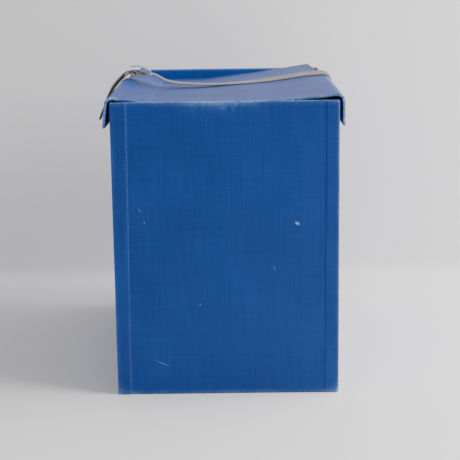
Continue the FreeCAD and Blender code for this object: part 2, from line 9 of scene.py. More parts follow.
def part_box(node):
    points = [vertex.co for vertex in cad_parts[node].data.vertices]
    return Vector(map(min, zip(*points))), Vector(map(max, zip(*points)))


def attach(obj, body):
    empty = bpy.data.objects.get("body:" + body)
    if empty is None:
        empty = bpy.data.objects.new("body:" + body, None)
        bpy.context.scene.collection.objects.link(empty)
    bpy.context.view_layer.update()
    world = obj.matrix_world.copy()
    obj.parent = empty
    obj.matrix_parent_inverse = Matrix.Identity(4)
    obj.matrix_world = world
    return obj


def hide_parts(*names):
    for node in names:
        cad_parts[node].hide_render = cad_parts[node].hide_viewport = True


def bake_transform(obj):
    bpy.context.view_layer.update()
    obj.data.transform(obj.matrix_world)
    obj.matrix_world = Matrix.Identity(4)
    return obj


# Strapped document box in worn blue book cloth. Metres, in the frame of the CAD model.

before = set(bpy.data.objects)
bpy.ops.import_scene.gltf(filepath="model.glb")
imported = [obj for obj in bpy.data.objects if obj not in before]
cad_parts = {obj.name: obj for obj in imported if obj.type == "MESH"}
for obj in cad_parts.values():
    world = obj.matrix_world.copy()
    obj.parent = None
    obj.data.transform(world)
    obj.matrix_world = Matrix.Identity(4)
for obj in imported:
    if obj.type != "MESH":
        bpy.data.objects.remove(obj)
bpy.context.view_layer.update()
MM = 0.001

# ------------------------------------------------------------------ places, from the CAD

side_low, side_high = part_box("left_cover")
WIDTH, DEPTH, HEIGHT = -2 * side_low.x, -2 * side_low.y, side_high.z
STRIP = side_high.x - side_low.x
CLOTH = 0.5 * MM
CLOTH_SHEET = 0.45 * MM              # the wall cloths' own thickness, a little under the CAD's
BASE_SHEET = 0.4 * MM
WALL = 3.4 * MM                      # cloth, board and turned-in cloth
TURN_IN = 16 * MM
RIM_R = 1.5 * MM
CORNER_R = 2.0 * MM


def lid_stations():
    """The lid's stations in the CAD: for each line across it, its y, and the x and top z of each."""
    lines = {}
    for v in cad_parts["lid_cover"].data.vertices:
        line = lines.setdefault(round(v.co.y, 5), {})
        x = round(v.co.x, 5)
        line[x] = max(line.get(x, -1.0), v.co.z)
    return [(y, np.array(sorted(line)), np.array([line[x] for x in sorted(line)]))
            for y, line in sorted(lines.items())]


STATIONS = lid_stations()
LID_FRONT, LID_REAR = STATIONS[0][0], STATIONS[-1][0]
lip_low, lip_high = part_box("left_lip_cover")
LIP_FRONT, LIP_REAR, LIP_FOOT = lip_low.y, lip_high.y, lip_low.z
strap_low, strap_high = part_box("long_strap")
STRAP_Y = (strap_low.y + strap_high.y) / 2
STRAP_W = strap_high.y - strap_low.y
STRAP_T = 1.8 * MM

# ---------------------------------------------------------------------------- mesh tools


def waves(a, b, seed, reach):
    """A smooth uneven field from 0 to 1 over two coordinates, with bumps about reach metres long."""
    rng = np.random.default_rng(seed)
    total = np.zeros(np.broadcast(a, b).shape)
    count = 7
    for _ in range(count):
        angle = rng.uniform(0, math.tau)
        length = reach * rng.uniform(0.55, 1.7)
        phase = rng.uniform(0, math.tau)
        total = total + np.sin((a * math.cos(angle) + b * math.sin(angle)) * math.tau / length + phase)
    return 0.5 + 0.5 * total / (0.62 * count)


def smooth_step(x, low, high):
    t = np.clip((x - low) / (high - low), 0, 1)
    return t * t * (3 - 2 * t)


class Sheet:
    """Gathers grids of points into one mesh, with a cloth map in metres and a wear value that can also hold
    a painted highlight.
    """

    def __init__(self):
        self.points, self.faces, self.maps, self.wear = [], [], [], []

    def grid(self, points, across, along, wear, flip=False):
        rows, columns = points.shape[:2]
        base = sum(len(p) for p in self.points)
        self.points.append(points.reshape(-1, 3))
        shape = (rows, columns)
        self.maps.append(np.stack([np.broadcast_to(across, shape).ravel(),
                                   np.broadcast_to(along, shape).ravel()], 1))
        self.wear.append(np.broadcast_to(wear, shape).ravel())
        for i in range(rows - 1):
            for j in range(columns - 1):
                a = base + i * columns + j
                face = (a, a + 1, a + columns + 1, a + columns)
                self.faces.append(face[::-1] if flip else face)

    def build(self, name, body, materials, weld=0.02 * MM):
        mesh = bpy.data.meshes.new(name)
        points = np.concatenate(self.points)
        mesh.from_pydata(points.tolist(), [], self.faces)
        maps, wear = np.concatenate(self.maps), np.concatenate(self.wear)
        layer = mesh.uv_layers.new(name="Cloth")
        corner = np.zeros(len(mesh.loops), np.int32)
        mesh.loops.foreach_get("vertex_index", corner)
        layer.data.foreach_set("uv", maps[corner].astype(np.float32).ravel())
        # This wear attribute also carries the painted hem highlight of the left wall cloth.
        attribute = mesh.attributes.new("wear", "FLOAT", "POINT")
        attribute.data.foreach_set("value", wear.astype(np.float32))
        bm = bmesh.new()
        bm.from_mesh(mesh)
        bmesh.ops.remove_doubles(bm, verts=bm.verts, dist=weld)
        bm.to_mesh(mesh)
        bm.free()
        return add(name, mesh, body, materials)


def add(name, mesh, body, materials):
    """Links a mesh as a piece that rides on a body, or on none yet, shaded smooth."""
    obj = bpy.data.objects.new(name, mesh)
    bpy.context.scene.collection.objects.link(obj)
    for material in materials:
        mesh.materials.append(material)
    mesh.polygons.foreach_set("use_smooth", np.ones(len(mesh.polygons), bool))
    mesh.update()
    if body:
        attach(obj, body)
    return obj


def thicken(obj, thickness, rounding=0.0, segments=3):
    """Gives a sheet its thickness behind its face, and rounds its cut edges if a rounding is given."""
    solid = obj.modifiers.new("thickness", "SOLIDIFY")
    solid.thickness, solid.offset, solid.use_even_offset = thickness, -1, True
    solid.thickness_clamp = 0
    if rounding:
        bevel = obj.modifiers.new("edges", "BEVEL")
        bevel.width, bevel.segments, bevel.limit_method = rounding, segments, "ANGLE"
        bevel.angle_limit = math.radians(55)


def through(points, step=1.2 * MM):
    """A smooth line through points in millimetres (centripetal Catmull-Rom), as metres."""
    p = np.array(points, float) * MM
    p = np.vstack([2 * p[0] - p[1], p, 2 * p[-1] - p[-2]])
    line = []
    for a, b, c, d in zip(p, p[1:], p[2:], p[3:]):
        t = [0.0]
        for u, v in ((a, b), (b, c), (c, d)):
            t.append(t[-1] + max(1e-9, np.linalg.norm(v - u)) ** 0.5)
        count = max(2, int(np.linalg.norm(c - b) / step))
        for s in np.linspace(t[1], t[2], count, endpoint=False):
            a1 = (t[1] - s) / (t[1] - t[0]) * a + (s - t[0]) / (t[1] - t[0]) * b
            a2 = (t[2] - s) / (t[2] - t[1]) * b + (s - t[1]) / (t[2] - t[1]) * c
            a3 = (t[3] - s) / (t[3] - t[2]) * c + (s - t[2]) / (t[3] - t[2]) * d
            b1 = (t[2] - s) / (t[2] - t[0]) * a1 + (s - t[0]) / (t[2] - t[0]) * a2
            b2 = (t[3] - s) / (t[3] - t[1]) * a2 + (s - t[1]) / (t[3] - t[1]) * a3
            line.append((t[2] - s) / (t[2] - t[1]) * b1 + (s - t[1]) / (t[2] - t[1]) * b2)
    line.append(p[-2])
    return np.array(line)


# ----------------------------------------------------------------------------- materials


class Material:
    """A node material, written top down."""

    def __init__(self, name):
        self.material = bpy.data.materials.new(name)
        self.material.use_nodes = True
        self.tree = self.material.node_tree
        self.shader = self.tree.nodes["Principled BSDF"]

    def node(self, kind, inputs=(), **settings):
        made = self.tree.nodes.new("ShaderNode" + kind)
        for key, value in settings.items():
            setattr(made, key, value)
        for key, value in dict(inputs).items():
            self.feed(made.inputs[key], value)
        return made

    def feed(self, socket, value):
        if isinstance(value, bpy.types.NodeSocket):
            self.tree.links.new(value, socket)
        else:
            socket.default_value = value

    def set(self, **inputs):
        for key, value in inputs.items():
            self.feed(self.shader.inputs[key.replace("_", " ")], value)

    def scaled(self, vector, scale):
        return self.node("VectorMath", {0: vector, 1: scale}, operation="MULTIPLY").outputs[0]

    def noise(self, vector, scale=1.0, detail=2.0, rough=0.5):
        return self.node("TexNoise", {"Vector": vector, "Scale": scale, "Detail": detail,
                                      "Roughness": rough}).outputs[0]

    def math(self, operation, a, b=0.0, clamp=False):
        return self.node("Math", {0: a, 1: b}, operation=operation, use_clamp=clamp).outputs[0]

    def remap(self, value, low, high, to_low=0.0, to_high=1.0):
        return self.node("MapRange", {"Value": value, "From Min": low, "From Max": high,
                                      "To Min": to_low, "To Max": to_high}).outputs[0]

    def mix(self, factor, a, b):
        made = self.node("Mix", data_type="RGBA")
        self.feed(made.inputs["Factor"], factor)
        colours = [s for s in made.inputs if s.type == "RGBA"]
        self.feed(colours[0], a)
        self.feed(colours[1], b)
        return [s for s in made.outputs if s.type == "RGBA"][0]

    def bump(self, height, distance, strength):
        return self.node("Bump", {"Height": height, "Distance": distance, "Strength": strength}).outputs[0]


def spot(m, place, centre, size, tilt=0.0):
    """A mask that is 1 at a place on the cloth map and 0 beyond an ellipse of that size."""
    away = m.node("VectorMath", {0: place, 1: (*centre, 0)}, operation="SUBTRACT").outputs[0]
    turned = m.node("VectorRotate", {"Vector": away, "Angle": tilt}, rotation_type="Z_AXIS").outputs[0]
    shaped = m.scaled(turned, (1 / size[0], 1 / size[1], 0))
    reach = m.node("VectorMath", {0: shaped}, operation="LENGTH").outputs["Value"]
    return m.remap(reach, 1.0, 0.35)


def book_cloth(name, dark, light, wear_and_highlight_colour, marks=(), gloss=0.46):
    """Linen-grained book cloth: fine threads, long slubs, uneven dye, pale wear at the folds, and a painted
    highlight where the wear map carries one.
    """
    m = Material(name)
    place = m.node("UVMap", uv_map="Cloth").outputs[0]
    warp = m.noise(m.scaled(place, (1500, 60, 1)), detail=1.5)
    weft = m.noise(m.scaled(place, (60, 1500, 1)), detail=1.5)
    slub = m.noise(m.scaled(place, (420, 14, 1)), detail=2)
    cross = m.noise(m.scaled(place, (18, 420, 1)), detail=2)
    patch = m.noise(m.scaled(place, (11, 11, 1)), detail=3)
    weave = m.math("ADD", m.math("MULTIPLY", warp, 0.5), m.math("MULTIPLY", weft, 0.5))
    tone = m.math("ADD", m.math("MULTIPLY", slub, 0.34), m.math("MULTIPLY", cross, 0.2))
    tone = m.math("ADD", tone, m.math("MULTIPLY", weave, 0.26))
    tone = m.math("ADD", tone, m.math("MULTIPLY", patch, 0.3))
    dyed = m.mix(m.remap(tone, 0.36, 0.74), dark, light)
    # The wear map holds real wear and, on the left wall cloth, also a painted highlight along its strip's
    # hem; both mix towards the pale colour.
    wear_and_hem_highlight = m.node("Attribute", attribute_name="wear").outputs["Fac"]
    fibres = m.noise(m.scaled(place, (700, 260, 1)), detail=3, rough=0.6)
    wear_and_highlight_mask = m.math("MULTIPLY", wear_and_hem_highlight, m.remap(fibres, 0.3, 0.62), clamp=True)
    for centre, size, tilt, strength in marks:
        broken = m.remap(fibres, 0.25, 0.5, strength * 0.4, strength)
        mark = m.math("MULTIPLY", spot(m, place, centre, size, tilt), broken)
        wear_and_highlight_mask = m.math("MAXIMUM", wear_and_highlight_mask, mark)
    roughness = m.remap(weave, 0.3, 0.7, gloss + 0.06, gloss - 0.04)
    height = m.math("ADD", weave, m.math("MULTIPLY", slub, 0.7))
    m.set(Base_Color=m.mix(wear_and_highlight_mask, dyed, wear_and_highlight_colour), Roughness=roughness, Specular_IOR_Level=0.24,
          Normal=m.bump(height, 0.22 * MM, 0.55))
    return m.material


def fibre_board(name, dark, light):
    """Grey millboard with pressed fibres and flecks."""
    m = Material(name)
    place = m.node("TexCoord").outputs["Object"]
    pulp = m.noise(place, 260, 5, 0.6)
    flecks = m.noise(m.scaled(place, (300, 900, 300)), 1, 2)
    tone = m.math("ADD", m.math("MULTIPLY", pulp, 0.6), m.math("MULTIPLY", flecks, 0.4))
    m.set(Base_Color=m.mix(m.remap(tone, 0.35, 0.65), dark, light),
          Roughness=m.remap(pulp, 0.3, 0.7, 0.8, 0.95), Normal=m.bump(tone, 0.15 * MM, 0.5))
    return m.material


def paper(name, dark, light, grain):
    """Matt paper with soft mottling, foxing and a slight tooth."""
    m = Material(name)
    place = m.node("TexCoord").outputs["Object"]
    tooth = m.noise(place, grain, 4, 0.6)
    mottle = m.noise(place, 14, 4)
    aged = m.mix(m.remap(mottle, 0.35, 0.7), light, dark)
    foxing = m.remap(m.noise(place, 60, 3), 0.66, 0.78)
    m.set(Base_Color=m.mix(m.math("MULTIPLY", foxing, 0.35), aged, (0.42, 0.27, 0.13, 1)),
          Roughness=m.remap(tooth, 0.3, 0.7, 0.72, 0.88), Normal=m.bump(tooth, 0.06 * MM, 0.6))
    return m.material


def cotton_webbing(name, dark, light):
    """Flat cotton webbing: a herringbone of ribs across the band and rows of yarn along it."""
    m = Material(name)
    place = m.node("UVMap", uv_map="Cloth").outputs[0]
    ribs = m.node("TexWave", {"Vector": m.scaled(place, (620, 620, 1)), "Scale": 1.0, "Distortion": 0.6,
                              "Detail": 1.0}, bands_direction="DIAGONAL").outputs["Fac"]
    rows = m.node("TexWave", {"Vector": m.scaled(place, (500, 40, 1)), "Scale": 1.0, "Distortion": 1.0},
                  bands_direction="X").outputs["Fac"]
    soil = m.noise(m.scaled(place, (60, 30, 1)), detail=4)
    fuzz = m.noise(m.scaled(place, (2400, 900, 1)), detail=2)
    relief = m.math("ADD", m.math("MULTIPLY", ribs, 0.6), m.math("MULTIPLY", rows, 0.4))
    tone = m.math("ADD", m.math("MULTIPLY", relief, 0.45), m.math("MULTIPLY", fuzz, 0.55))
    yarn = m.mix(m.remap(tone, 0.2, 0.8), dark, light)
    edge = m.node("Attribute", attribute_name="wear").outputs["Fac"]
    yarn = m.mix(m.math("MULTIPLY", edge, 0.55), yarn, light)
    soiled = m.mix(m.remap(soil, 0.4, 0.75, 0.0, 0.5), yarn, tuple(0.45 * c for c in dark[:3]) + (1,))
    m.set(Base_Color=soiled, Roughness=0.9, Sheen_Weight=0.25, Sheen_Roughness=0.6)
    m.set(Normal=m.bump(relief, 0.3 * MM, 0.8))
    return m.material


def old_metal(name, bright, dull, roughness, spots=(0.30, 0.17, 0.07, 1), spotting=0.62):
    """Plated metal: fine scratches, dull patches and specks where the plating has gone."""
    m = Material(name)
    place = m.node("TexCoord").outputs["Object"]
    tarnish = m.noise(place, 260, 4, 0.6)
    scratch = m.noise(m.scaled(place, (4000, 400, 1500)), 1, 2)
    specks = m.remap(m.noise(place, 900, 3), spotting, spotting + 0.08)
    colour = m.mix(m.remap(tarnish, 0.4, 0.65), bright, dull)
    m.set(Base_Color=m.mix(specks, colour, spots), Metallic=m.remap(specks, 0, 1, 1.0, 0.35),
          Roughness=m.remap(tarnish, 0.3, 0.7, roughness, roughness + 0.22),
          Normal=m.bump(scratch, 0.02 * MM, 0.6))
    return m.material


BLUE_DARK, BLUE_LIGHT = (0.0004, 0.022, 0.142, 1), (0.0012, 0.045, 0.240, 1)
# The pale blue of worn cloth, also used for the painted highlight along the left strip's hem.
BLUE_WEAR_AND_HIGHLIGHT = (0.22, 0.38, 0.66, 1)
cloth_walls = book_cloth("book_cloth_walls", BLUE_DARK, BLUE_LIGHT, BLUE_WEAR_AND_HIGHLIGHT)
cloth_front = book_cloth("book_cloth_front", BLUE_DARK, BLUE_LIGHT, BLUE_WEAR_AND_HIGHLIGHT, marks=[
    ((0.0785, 0.1965), (0.0035, 0.0020), 0.5, 0.95),
    ((-0.0300, 0.1050), (0.0012, 0.0012), 0.0, 0.6),
    ((-0.0740, 0.0370), (0.0110, 0.0007), 0.42, 0.45),
    ((-0.0950, 0.2130), (0.0040, 0.0006), 0.9, 0.45),
    ((-0.0900, 0.1990), (0.0014, 0.0010), 0.2, 0.55),
    ((0.0530, 0.1460), (0.0045, 0.0006), 1.2, 0.4),
])
cloth_lid = book_cloth("book_cloth_lid", BLUE_DARK, BLUE_LIGHT, BLUE_WEAR_AND_HIGHLIGHT, gloss=0.47)
cloth_hinge = book_cloth("hinge_cloth_blue", (0.003, 0.036, 0.19, 1), (0.006, 0.06, 0.27, 1), BLUE_WEAR_AND_HIGHLIGHT)
board_grey = fibre_board("millboard", (0.20, 0.17, 0.13, 1), (0.36, 0.32, 0.26, 1))
lining_cream = paper("lining_paper_cream", (0.52, 0.46, 0.36, 1), (0.70, 0.66, 0.56, 1), 900)
tape_white = paper("paper_tape_buff", (0.50, 0.40, 0.26, 1), (0.62, 0.52, 0.36, 1), 1400)
webbing = cotton_webbing("cotton_webbing", (0.080, 0.062, 0.060, 1), (0.235, 0.192, 0.176, 1))
nickel = old_metal("buckle_nickel", (0.70, 0.67, 0.62, 1), (0.38, 0.35, 0.31, 1), 0.22)
brass = old_metal("rivet_brass", (0.72, 0.52, 0.24, 1), (0.40, 0.27, 0.12, 1), 0.28, spotting=0.7)

# ------------------------------------------------------------- cloth on the four walls


def over_rim(s):
    """Inward distance and height, below the rim's top, after s metres of cloth past the wall's face."""
    quarter = math.pi / 2 * RIM_R
    flat = WALL - 2 * RIM_R
    s = np.asarray(s, float)
    first = np.clip(s, 0, quarter) / RIM_R
    level = np.clip(s - quarter, 0, flat)
    second = np.clip(s - quarter - flat, 0, quarter) / RIM_R
    down = np.clip(s - 2 * quarter - flat, 0, None)
    inward = RIM_R * (1 - np.cos(first)) + level + RIM_R * np.sin(second)
    height = HEIGHT - RIM_R + RIM_R * np.sin(first) - RIM_R * (1 - np.cos(second)) - down
    return inward, height


FULL_TURN = math.pi * RIM_R + (WALL - 2 * RIM_R) + TURN_IN - RIM_R
OVER_RIM = 5.2 * MM                  # past the wall's face, the cloth that goes over the rim
UNDER = 1.9 * MM                     # the cloth that turns in under the box
FOOT = 0.02 * MM                     # its height there, just clear of the surface the box stands on
BULGE = 0.75 * MM                    # how far the cloth's unevenness stands out from a face


def wall_cloth(name, plan, turn, materials, bow, seed, wider=(0.0, 0.0)):
    """Cloth along a plan line (x, y, outward normal, length): from under the box, up its face,
    over the rim by turn metres, and down inside. Its face is uneven along x or y, whichever bow
    says, and its front strip is wider by the two given amounts, at the foot and at the rim."""
    x, y, nx, ny, along = (np.array(column) for column in zip(*plan))
    turn = np.asarray(turn)
    # Each row of the section: inward distance, height, and place along the cloth.
    section = [(UNDER, FOOT, -UNDER), (UNDER - 0.2 * MM, FOOT, 0.2 * MM - UNDER)]
    for a in np.linspace(0, math.pi / 2, 5):
        rounded = (RIM_R * (1 - math.sin(a)), FOOT + RIM_R * (1 - math.cos(a)))
        section.append((*rounded, RIM_R * math.sin(a) * 0.5))
    section += [(0.0, z, z) for z in np.linspace(FOOT + RIM_R, HEIGHT - RIM_R, 84)[1:]]
    inward = [np.full_like(x, d) for d, z, s in section]
    height = [np.full_like(x, z) for d, z, s in section]
    length = [s for d, z, s in section]
    for s in np.concatenate([np.linspace(0, OVER_RIM, 14)[1:], np.linspace(OVER_RIM, FULL_TURN, 7)[1:]]):
        d, z = over_rim(s * turn / FULL_TURN)
        inward.append(d)
        height.append(z)
        length.append(HEIGHT + s)
    inward, height, length = np.array(inward), np.array(height), np.array(length)

    run, to_end = (x, WIDTH / 2 - STRIP - 6 * MM - np.abs(x)) if bow == "x" else \
        (y, DEPTH / 2 - 4 * MM - np.abs(y))
    face = smooth_step(height, 4 * MM, 45 * MM) * smooth_step(HEIGHT - height, 4 * MM, 45 * MM)
    face = face * (inward < 1e-6) * smooth_step(to_end, 0, 24 * MM)
    bulge = BULGE * face * waves(run[None, :], height, seed, 0.16)
    points = np.stack([x - nx * (inward - bulge), y - ny * (inward - bulge), height], 2)
    front_strip = (bow == "y") * (y < 0)
    on_strip = np.clip((WIDTH / 2 - CORNER_R - np.abs(x)) / (STRIP - CORNER_R), 0, 1) * front_strip
    extra = wider[0] + (wider[1] - wider[0]) * np.clip(height / HEIGHT, 0, 1)
    points[:, :, 0] -= np.sign(x) * on_strip * extra

    from_side, from_end = np.abs(np.abs(x) - WIDTH / 2), np.abs(np.abs(y) - DEPTH / 2)
    rim = np.exp(-np.abs(height - HEIGHT) / (0.9 * MM)) * (inward < WALL)
    worn_corner = np.exp(-(from_side + from_end) / (5 * MM))
    foot = np.exp(-height / ((1.8 + 6.0 * worn_corner) * MM)) * (0.75 + 0.25 * worn_corner)
    corner = np.exp(-from_side / MM) * np.exp(-from_end / MM)
    frayed = 0.35 + 0.65 * waves(run[None, :], height, seed + 5, 0.03)
    fibres = 1.2 + 4.5 * waves(run[None, :], height * 0, seed + 9, 0.006)
    below_rim = (HEIGHT - height).clip(0) / (fibres * MM)
    scuff = np.exp(-((x + 8 * MM) / (36 * MM)) ** 2) * np.exp(-below_rim) * (bow == "x") * (y < 0)
    # Painted highlight: the left front strip's hem is lightened where light from the right catches its
    # raised edge. The rest of this wear map is real pale wear at the rim, foot and corners.
    painted_hem_highlight = np.exp(-np.abs(np.abs(x) - WIDTH / 2 + STRIP) / (0.8 * MM)) * front_strip * (x < 0)
    wear = np.clip((rim * 0.9 + foot + corner * 0.9) * frayed + scuff * 0.8 + painted_hem_highlight * 0.26, 0, 1)
    cloth = Sheet()
    cloth.grid(points, along[None, :], length[:, None], wear)
    obj = cloth.build(name, "box", materials)
    thicken(obj, CLOTH_SHEET, 0.12 * MM, segments=2)
    return obj


def straight_plan(side):
    """The front (-1) or back (1) cloth, between the wraps of the side cloths."""
    reach = WIDTH / 2 - 2.5 * MM
    y = side * (DEPTH / 2 - CLOTH)
    xs = np.linspace(-reach, reach, 70)
    if side > 0:
        xs = xs[::-1]
    return [(x, y, 0.0, float(side), x) for x in xs]


def wrap_plan(side):
    """The left (-1) or right (1) cloth: it wraps both of its corners onto the front and back."""
    def corner(sign_y, angles):
        cx, cy = side * (WIDTH / 2 - CORNER_R), sign_y * (DEPTH / 2 - CORNER_R)
        return [(cx + side * CORNER_R * math.cos(a), cy + sign_y * CORNER_R * math.sin(a),
                 side * math.cos(a), sign_y * math.sin(a)) for a in angles]

    strip_end = WIDTH / 2 - CORNER_R
    hem_end = WIDTH / 2 - STRIP
    across = np.concatenate([[hem_end], np.linspace(hem_end + 0.9 * MM, strip_end, 7)[:-1]])
    line = [(side * x, -DEPTH / 2, 0.0, -1.0) for x in across]
    line += corner(-1, np.linspace(math.pi / 2, 0, 7))
    line += [(side * WIDTH / 2, y, float(side), 0.0)
             for y in np.linspace(-DEPTH / 2 + CORNER_R, DEPTH / 2 - CORNER_R, 96)[1:-1]]
    line += corner(1, np.linspace(0, math.pi / 2, 7))
    line += [(side * x, DEPTH / 2, 0.0, 1.0) for x in np.linspace(strip_end, hem_end, 7)[1:]]
    if side < 0:
        line = line[::-1]
    plan, length = [], 0.0
    for i, (x, y, nx, ny) in enumerate(line):
        if i:
            length += math.hypot(x - line[i - 1][0], y - line[i - 1][1])
        plan.append((x, y, nx, ny, length))
    middle = plan[len(plan) // 2][4]
    return [(x, y, nx, ny, s - middle) for x, y, nx, ny, s in plan]


for side, sign in (("front", -1), ("back", 1)):
    plan = straight_plan(sign)
    reach = np.array([WIDTH / 2 - WALL - abs(p[0]) for p in plan])
    turn = np.clip(reach + 2.2 * MM, 1.6 * MM, FULL_TURN)
    material = cloth_front if sign < 0 else cloth_walls
    piece = wall_cloth(side + "_cloth", plan, turn, [material], "x", 11 + sign)
    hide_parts(side + "_cover")

for side, sign in (("left", -1), ("right", 1)):
    plan = wrap_plan(sign)
    reach = np.array([DEPTH / 2 - WALL - abs(p[1]) for p in plan])
    turn = np.clip(reach + 1.9 * MM, 1.9 * MM, FULL_TURN)
    wider = (-1.1 * MM, 2.1 * MM) if sign < 0 else (-1.1 * MM, -2.5 * MM)
    piece = wall_cloth(side + "_cloth", plan, turn, [cloth_walls], "y", 31 + sign, wider)
    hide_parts(side + "_cover")

# --------------------------------------------------------------- the lid and its lips


def lid_edges(y):
    """x of the lid's left and right edge at y."""
    rows = np.array([s[0] for s in STATIONS])
    left = np.interp(y, rows, [s[1][0] for s in STATIONS])
    right = np.interp(y, rows, [s[1][-1] for s in STATIONS])
    return left, right


def facet_height(x, y):
    """The CAD lid's height: straight lines between its stations."""
    rows = np.array([s[0] for s in STATIONS])
    y = np.clip(y, rows[0], rows[-1])
    result = np.zeros(np.broadcast(x, y).shape)
    x, y = np.broadcast_arrays(x, y)
    for (ya, xa, za), (yb, xb, zb) in zip(STATIONS, STATIONS[1:]):
        inside = (y >= ya) & (y <= yb)
        t = np.clip((y - ya) / (yb - ya), 0, 1)
        for k in range(len(xa) - 1):
            x0, x1 = xa[k] + (xb[k] - xa[k]) * t, xa[k + 1] + (xb[k + 1] - xa[k + 1]) * t
            z0, z1 = za[k] + (zb[k] - za[k]) * t, za[k + 1] + (zb[k + 1] - za[k + 1]) * t
            here = inside & ((x >= x0) | (k == 0)) & ((x <= x1) | (k == len(xa) - 2))
            result = np.where(here, z0 + (z1 - z0) * (x - x0) / (x1 - x0), result)
    return result


VALLEY_X = STATIONS[0][1][1]


def lid_height(x, y):
    """The lid's height as creased board: a fairly sharp valley, and soft bends elsewhere."""
    soft = 0.8 * MM + 15 * MM * smooth_step(np.abs(x - VALLEY_X), 6 * MM, 34 * MM)
    left, right = lid_edges(y)
    room = np.minimum(x - left, right - x).clip(0)
    soft = np.minimum(soft, 0.3 * MM + room)
    from_front = smooth_step(np.abs(y - LID_FRONT), 0, 50 * MM)
    total, weight = 0.0, 0.0
    for a in np.linspace(-1, 1, 9):
        for b in (-22 * MM, 0.0, 22 * MM):
            w = (1 - abs(a) * 0.8) * (1.0 if b == 0 else 0.55)
            total = total + w * facet_height(x + a * soft, y + b * from_front)
            weight += w
    buckle = (waves(x, y, 71, 0.09) - 0.5) * 0.7 * MM * smooth_step(room, 0, 20 * MM)
    buckle = buckle * smooth_step(y, LID_FRONT, LID_FRONT + 30 * MM)
    curl = 0.8 * MM * np.exp(-((x - left) / (7 * MM)) ** 2) * np.exp(-((y - LID_FRONT) / (40 * MM)) ** 2)
    return total / weight + buckle + curl


LID_INSET = 0.9 * MM                 # the rounded edge starts this far inside the CAD's
ys = np.linspace(LID_FRONT + LID_INSET, LID_REAR - LID_INSET, 150)
ys = np.sort(np.append(ys, LIP_REAR))
NEAR_EDGE = 0.012                    # share of the lid's width that its edge columns take
ts = np.concatenate([np.linspace(0, NEAR_EDGE, 3), np.linspace(NEAR_EDGE, 1 - NEAR_EDGE, 120)[1:],
                     np.linspace(1 - NEAR_EDGE, 1, 3)[1:]])
left, right = lid_edges(ys)
GX = left[:, None] + (right - left)[:, None] * ts[None, :]
GY = np.broadcast_to(ys[:, None], GX.shape)
GZ = lid_height(GX, GY)
edge_near = np.exp(-(GY - ys[0]) / (1.4 * MM)) + np.exp(-(ys[-1] - GY) / (1.4 * MM))
crease = np.exp(-((GX - VALLEY_X) / (1.1 * MM)) ** 2) * 0.16
front_corner = np.exp(-((GX - GX[:, :1]) / (6 * MM)) ** 2 - ((GY - LID_FRONT) / (9 * MM)) ** 2)
patchy = 0.3 + 0.7 * waves(GX, GY, 8, 0.04)
lid_wear = np.clip((edge_near * 0.9 + crease) * patchy + 0.8 * front_corner, 0, 1)


def lip_reaches(node):
    """Of a lip in the CAD, at each line across it: y, and how far out its shoulder and its foot stand."""
    lines = {}
    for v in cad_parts[node].data.vertices:
        lines.setdefault(round(v.co.y, 5), []).append((v.co.z, abs(v.co.x)))
    rows = [(y, points) for y, points in sorted(lines.items())
            if max(points)[0] - min(points)[0] > 25 * MM]
    foot = [max(x for z, x in points if z < LIP_FOOT + 1 * MM) for y, points in rows]
    face = [max(x for z, x in points if z > LIP_FOOT + 15 * MM) for y, points in rows]
    return [y for y, points in rows], face, foot


LIP_POINTS = 26                      # along a lip's section
LIP_LENGTH = 36 * MM                 # of that section, on the cloth map
SHOULDER_DROP = 7.4 * MM             # from the lid's edge to where the lip runs straight down


def lip_line(sign, y, edge, top):
    """A lip's section at y, from the lid's edge over its rounded shoulder to its foot."""
    rows, faces, feet = LIPS[sign]
    face, foot = np.interp(y, rows, faces), np.interp(y, rows, feet)
    out = face - edge
    low = top - SHOULDER_DROP
    knots = [(edge, top), (edge + 0.34 * out, top - 0.5 * MM), (edge + 0.7 * out, top - 2.2 * MM),
             (edge + 0.92 * out, top - 4.4 * MM), (face, low)]
    knots += [(face + (foot - face) * s, low + (LIP_FOOT - low) * s) for s in (0.25, 0.5, 0.75, 1.0)]
    line = through([(a / MM, b / MM) for a, b in knots], 1.0 * MM)
    pick = np.linspace(0, 1, LIP_POINTS)
    lengths = np.concatenate([[0], np.cumsum(np.linalg.norm(np.diff(line, axis=0), axis=1))])
    lengths /= lengths[-1]
    return np.stack([sign * np.interp(pick, lengths, line[:, 0]), np.interp(pick, lengths, line[:, 1])], 1)


LID_EDGE = STATIONS[0][1][-1]
LIP_STRAIGHT = STRAP_Y - STRAP_W / 2 - 2 * MM
LIPS = {-1: lip_reaches("left_lip_cover"), 1: lip_reaches("right_lip_cover")}

